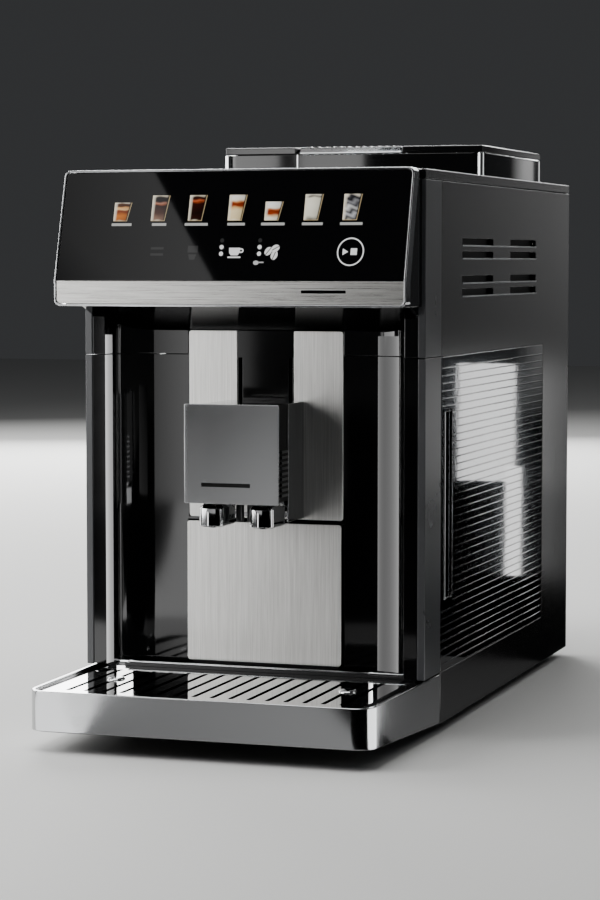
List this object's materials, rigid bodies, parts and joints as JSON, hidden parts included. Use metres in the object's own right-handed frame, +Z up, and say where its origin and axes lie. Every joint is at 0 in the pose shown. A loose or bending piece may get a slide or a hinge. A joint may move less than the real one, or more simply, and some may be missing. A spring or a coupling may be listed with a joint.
{
  "type": "bean-to-cup coffee machine",
  "caption": "Countertop bean-to-cup coffee machine with a leaning touch panel, sliding spout, front drip tray, side water tank and lidded bean hopper.",
  "frame": {"origin": "centre of the machine's outline on the surface that its feet stand on", "axes": "+Z up, the drip tray and control panel face -Y, and +X is to the right of someone facing the machine, on the water tank's side"},
  "size_m": [0.2418, 0.5264, 0.4005],
  "materials": {
    "gloss_black": "high-gloss black ABS",
    "satin_black": "satin black ABS with soft reflections",
    "edge_grey": "dark grey metallic corner strip",
    "silver_trim": "bright satin-chromed trim",
    "brushed_steel": "brushed stainless steel",
    "polished_steel": "mirror-polished stainless steel",
    "chrome": "bright chrome plate",
    "control_glass": "black-backed glass",
    "smoked_clear": "smoked clear plastic",
    "rubber": "soft black rubber",
    "circuit_board": "green solder-mask board",
    "aluminium": "cast and turned aluminium",
    "grey_plastic": "grey food-safe plastic",
    "boiler_copper": "copper boiler shell"
  },
  "bodies": {
    "housing": {"base_pan": "satin_black", "foot_front_left": "rubber", "foot_front_right": "rubber", "foot_rear_left": "rubber", "foot_rear_right": "rubber", "right_side_panel": "satin_black", "left_side_panel": "satin_black", "rear_cover": "satin_black", "top_cover": "satin_black", "lower_left_trim": "edge_grey", "lower_right_trim": "edge_grey", "upper_left_trim": "edge_grey", "upper_right_trim": "edge_grey", "lower_fascia": "gloss_black", "upper_fascia": "gloss_black", "upper_steel_plate": "brushed_steel", "spout_guide": "gloss_black", "panel_bezel": "silver_trim", "control_glass": "control_glass", "steel_trim_strip": "brushed_steel", "display_board": "circuit_board", "head_shell": "gloss_black", "head_underside": "gloss_black", "hopper_frame": "gloss_black", "bean_hopper": "smoked_clear", "ground_coffee_chute": "satin_black", "tank_bay": "satin_black", "tank_dock": "grey_plastic", "grinder_body": "grey_plastic", "upper_burr": "aluminium", "grinder_motor": "aluminium", "brew_chamber": "grey_plastic", "water_pump": "grey_plastic", "boiler": "boiler_copper", "suction_hose": "rubber", "pressure_hose": "rubber", "power_board": "circuit_board", "power_entry": "satin_black"},
    "tray": {"drip_tray": "satin_black", "tray_band": "silver_trim", "grounds_bin": "satin_black", "bin_front_plate": "brushed_steel"},
    "grid": {"drip_grid": "polished_steel"},
    "spout": {"spout_shroud": "silver_trim", "nozzle_block": "chrome"},
    "spout_front": {"spout_cover": "gloss_black", "spout_face_plate": "silver_trim"},
    "tank": {"water_tank": "smoked_clear"},
    "tank_lid": {"tank_lid": "satin_black"},
    "tank_valve": {"tank_valve": "rubber"},
    "ground_coffee_lid": {"ground_coffee_lid": "gloss_black"},
    "bean_lid": {"bean_lid": "smoked_clear"},
    "accessory_lid": {"accessory_lid": "gloss_black"},
    "grind_dial": {"grind_dial": "satin_black"},
    "lower_burr": {"lower_burr": "aluminium"},
    "brew_gear": {"brew_gear": "grey_plastic"},
    "brew_piston": {"brew_piston": "aluminium"},
    "power_switch": {"power_switch": "satin_black"},
    "service_door": {"service_door": "satin_black"}
  },
  "joints": [
    {"name": "tray_slide", "type": "slide", "parent": "housing", "child": "tray", "axis": [0, -1, 0], "range_m": [0, 0.2]},
    {"name": "grid_lift", "type": "slide", "parent": "tray", "child": "grid", "axis": [0, 0, 1], "range_m": [0, 0.025]},
    {"name": "spout_slide", "type": "slide", "parent": "housing", "child": "spout", "axis": [0, 0, 1], "range_m": [0, 0.04]},
    {"name": "spout_front_pull", "type": "slide", "parent": "spout", "child": "spout_front", "axis": [0, -1, 0], "range_m": [0, 0.03]},
    {"name": "tank_slide", "type": "slide", "parent": "housing", "child": "tank", "axis": [1, 0, 0], "range_m": [0, 0.06]},
    {"name": "tank_lid_lift", "type": "slide", "parent": "tank", "child": "tank_lid", "axis": [0, 0, 1], "range_m": [0, 0.02]},
    {"name": "tank_valve_press", "type": "slide", "parent": "tank", "child": "tank_valve", "axis": [-1, 0, 0], "range_m": [0, 0.003], "stiffness_N_per_m": 80},
    {"name": "ground_coffee_lid_hinge", "type": "hinge", "parent": "housing", "child": "ground_coffee_lid", "pos_m": [0, 0.24575, 0.3979], "axis": [-1, 0, 0], "range_deg": [0, 95]},
    {"name": "bean_lid_hinge", "type": "hinge", "parent": "housing", "child": "bean_lid", "pos_m": [0, 0.24575, 0.3979], "axis": [-1, 0, 0], "range_deg": [0, 95]},
    {"name": "accessory_lid_hinge", "type": "hinge", "parent": "housing", "child": "accessory_lid", "pos_m": [0, 0.24575, 0.3979], "axis": [-1, 0, 0], "range_deg": [0, 95]},
    {"name": "grind_dial_turn", "type": "hinge", "parent": "housing", "child": "grind_dial", "pos_m": [0.018, 0.22235, 0.355], "axis": [0, 0, 1], "range_deg": [-120, 120]},
    {"name": "burr_spin", "type": "hinge", "parent": "housing", "child": "lower_burr", "pos_m": [-0.002, 0.15635, 0.305], "axis": [0, 0, 1], "continuous": true},
    {"name": "brew_gear_turn", "type": "hinge", "parent": "housing", "child": "brew_gear", "pos_m": [-0.06, 0.05135, 0.07], "axis": [0, 0, 1], "range_deg": [0, 720]},
    {"name": "brew_piston_slide", "type": "slide", "parent": "housing", "child": "brew_piston", "axis": [0, 0, 1], "range_m": [0, 0.03]},
    {"name": "power_switch_rock", "type": "hinge", "parent": "housing", "child": "power_switch", "pos_m": [0.047, 0.25585, 0.046], "axis": [1, 0, 0], "range_deg": [-8, 8]},
    {"name": "service_door_hinge", "type": "hinge", "parent": "housing", "child": "service_door", "pos_m": [-0.11875, 0.1148, 0.147], "axis": [0, 0, -1], "range_deg": [0, 100]}
  ],
  "couplings": [
    {"joint": "brew_gear_turn", "follows": "brew_piston_slide", "rad_per_m": 418}
  ]
}
